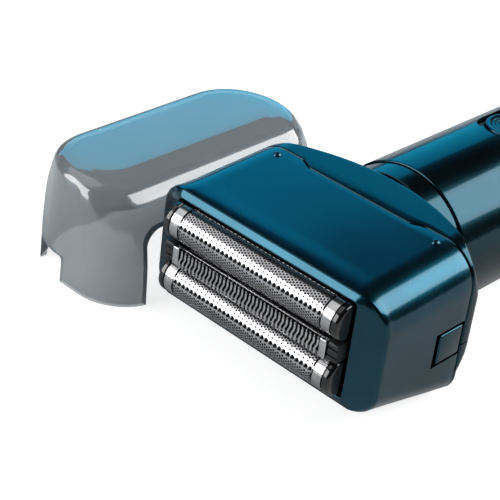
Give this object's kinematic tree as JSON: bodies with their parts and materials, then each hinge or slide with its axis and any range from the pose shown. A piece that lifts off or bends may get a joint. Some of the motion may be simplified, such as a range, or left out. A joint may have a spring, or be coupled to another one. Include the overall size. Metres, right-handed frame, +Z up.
{
  "type": "electric foil shaver",
  "caption": "Foil shaver with a wide metallic blue head, long floating foils with a trimmer between them, a round cordless handle and a smoke-clear protective cap beside it.",
  "frame": {"origin": "centre of the floor rectangle that the shaver and its cap stand on", "axes": "+X along the foils, away from the cap; +Y from the foils to the tail of the handle; +Z up, out of the shaver's front face"},
  "size_m": [0.1002, 0.1628, 0.0367],
  "materials": {
    "satin_blue": "satin metallic",
    "gloss_blue": "gloss",
    "smoke_clear": "clear smoke-tinted plastic",
    "foil_steel": "polished",
    "spring_steel": "satin",
    "black_plastic": "gloss",
    "dark_grey": "matte",
    "seal_rubber": "matte",
    "cell_wrap": "gloss",
    "board_green": "matte",
    "window_plastic": "gloss"
  },
  "bodies": {
    "handle": {"drive_deck": "black_plastic", "head_base_front": "gloss_blue", "head_base_rear": "gloss_blue", "neck_ring": "gloss_blue", "body_sleeve": "gloss_blue", "control_plate": "gloss_blue", "indicator_window": "window_plastic", "power_switch": "dark_grey", "inner_chassis": "black_plastic", "battery_cell": "cell_wrap", "battery_contact_front": "spring_steel", "battery_contact_rear": "spring_steel", "circuit_board": "board_green", "end_cap": "gloss_blue", "end_cap_seal": "seal_rubber", "charging_socket": "spring_steel", "tail_screw_left": "spring_steel", "tail_screw_right": "spring_steel", "deck_screw_front_left": "spring_steel", "deck_screw_front_right": "spring_steel", "deck_screw_rear_left": "spring_steel", "deck_screw_rear_right": "spring_steel", "motor_can": "spring_steel", "motor_mount": "black_plastic", "shaft_seal": "seal_rubber", "flex_arm_left": "dark_grey", "flex_arm_right": "dark_grey", "release_spring_left": "spring_steel", "release_spring_right": "spring_steel"},
    "foil_head": {"foil_frame": "satin_blue", "foil_cassette": "black_plastic"},
    "upper_foil_unit": {"upper_foil": "foil_steel", "upper_foil_end_left": "black_plastic", "upper_foil_end_right": "black_plastic"},
    "lower_foil_unit": {"lower_foil": "foil_steel", "lower_foil_end_left": "black_plastic", "lower_foil_end_right": "black_plastic"},
    "trimmer": {"trimmer_comb": "foil_steel", "trimmer_end_left": "dark_grey", "trimmer_end_right": "dark_grey", "trimmer_carrier": "black_plastic"},
    "cutting_blade": {"trimmer_blade": "foil_steel"},
    "oscillator": {"oscillator_bridge": "dark_grey"},
    "upper_cutter": {"upper_inner_cutter": "foil_steel", "upper_cutter_carrier": "dark_grey", "upper_cutter_spring": "spring_steel"},
    "lower_cutter": {"lower_inner_cutter": "foil_steel", "lower_cutter_carrier": "dark_grey", "lower_cutter_spring": "spring_steel"},
    "rotor": {"eccentric": "dark_grey", "motor_shaft": "spring_steel"},
    "release_left": {"release_button_left": "satin_blue"},
    "release_right": {"release_button_right": "satin_blue"},
    "power_key": {"power_button": "gloss_blue"},
    "cap": {"protective_cap": "smoke_clear"}
  },
  "joints": [
    {"name": "foil_head_lift", "type": "slide", "parent": "handle", "child": "foil_head", "axis": [0, -1, 0], "range_m": [0, 0.045]},
    {"name": "upper_foil_float", "type": "slide", "parent": "foil_head", "child": "upper_foil_unit", "axis": [0, 1, 0], "range_m": [0, 0.0015], "stiffness_N_per_m": 400, "springref_m": -0.0005},
    {"name": "lower_foil_float", "type": "slide", "parent": "foil_head", "child": "lower_foil_unit", "axis": [0, 1, 0], "range_m": [0, 0.0015], "stiffness_N_per_m": 400, "springref_m": -0.0005},
    {"name": "trimmer_float", "type": "slide", "parent": "foil_head", "child": "trimmer", "axis": [0, 1, 0], "range_m": [0, 0.001], "stiffness_N_per_m": 400, "springref_m": -0.0005},
    {"name": "oscillator_stroke", "type": "slide", "parent": "handle", "child": "oscillator", "axis": [1, 0, 0], "range_m": [-0.0012, 0.0012], "stiffness_N_per_m": 300, "deforming": ["flex_arm_left", "flex_arm_right"]},
    {"name": "blade_stroke", "type": "slide", "parent": "trimmer", "child": "cutting_blade", "axis": [1, 0, 0], "range_m": [-0.0012, 0.0012]},
    {"name": "upper_cutter_float", "type": "slide", "parent": "oscillator", "child": "upper_cutter", "axis": [0, 1, 0], "range_m": [0, 0.0015], "deforming": ["upper_cutter_spring"]},
    {"name": "lower_cutter_float", "type": "slide", "parent": "oscillator", "child": "lower_cutter", "axis": [0, 1, 0], "range_m": [0, 0.0015], "deforming": ["lower_cutter_spring"]},
    {"name": "rotor_spin", "type": "hinge", "parent": "handle", "child": "rotor", "pos_m": [0.01915, -0.0466, 0.01834], "axis": [0, 1, 0], "continuous": true},
    {"name": "release_left_press", "type": "slide", "parent": "handle", "child": "release_left", "axis": [1, 0, 0], "range_m": [0, 0.0012], "stiffness_N_per_m": 900, "springref_m": -0.0005, "deforming": ["release_spring_left"]},
    {"name": "release_right_press", "type": "slide", "parent": "handle", "child": "release_right", "axis": [-1, 0, 0], "range_m": [0, 0.0012], "stiffness_N_per_m": 900, "springref_m": -0.0005, "deforming": ["release_spring_right"]},
    {"name": "power_press", "type": "slide", "parent": "handle", "child": "power_key", "axis": [0, 0, -1], "range_m": [0, 0.0006], "stiffness_N_per_m": 1500, "springref_m": -0.0005},
    {"name": "cap_lift", "type": "slide", "parent": "handle", "child": "cap", "axis": [0, 0, 1], "range_m": [0, 0.08]}
  ],
  "couplings": [
    {"joint": "blade_stroke", "follows": "oscillator_stroke", "ratio": 1},
    {"joint": "upper_cutter_float", "follows": "upper_foil_float", "ratio": 1},
    {"joint": "lower_cutter_float", "follows": "lower_foil_float", "ratio": 1}
  ]
}
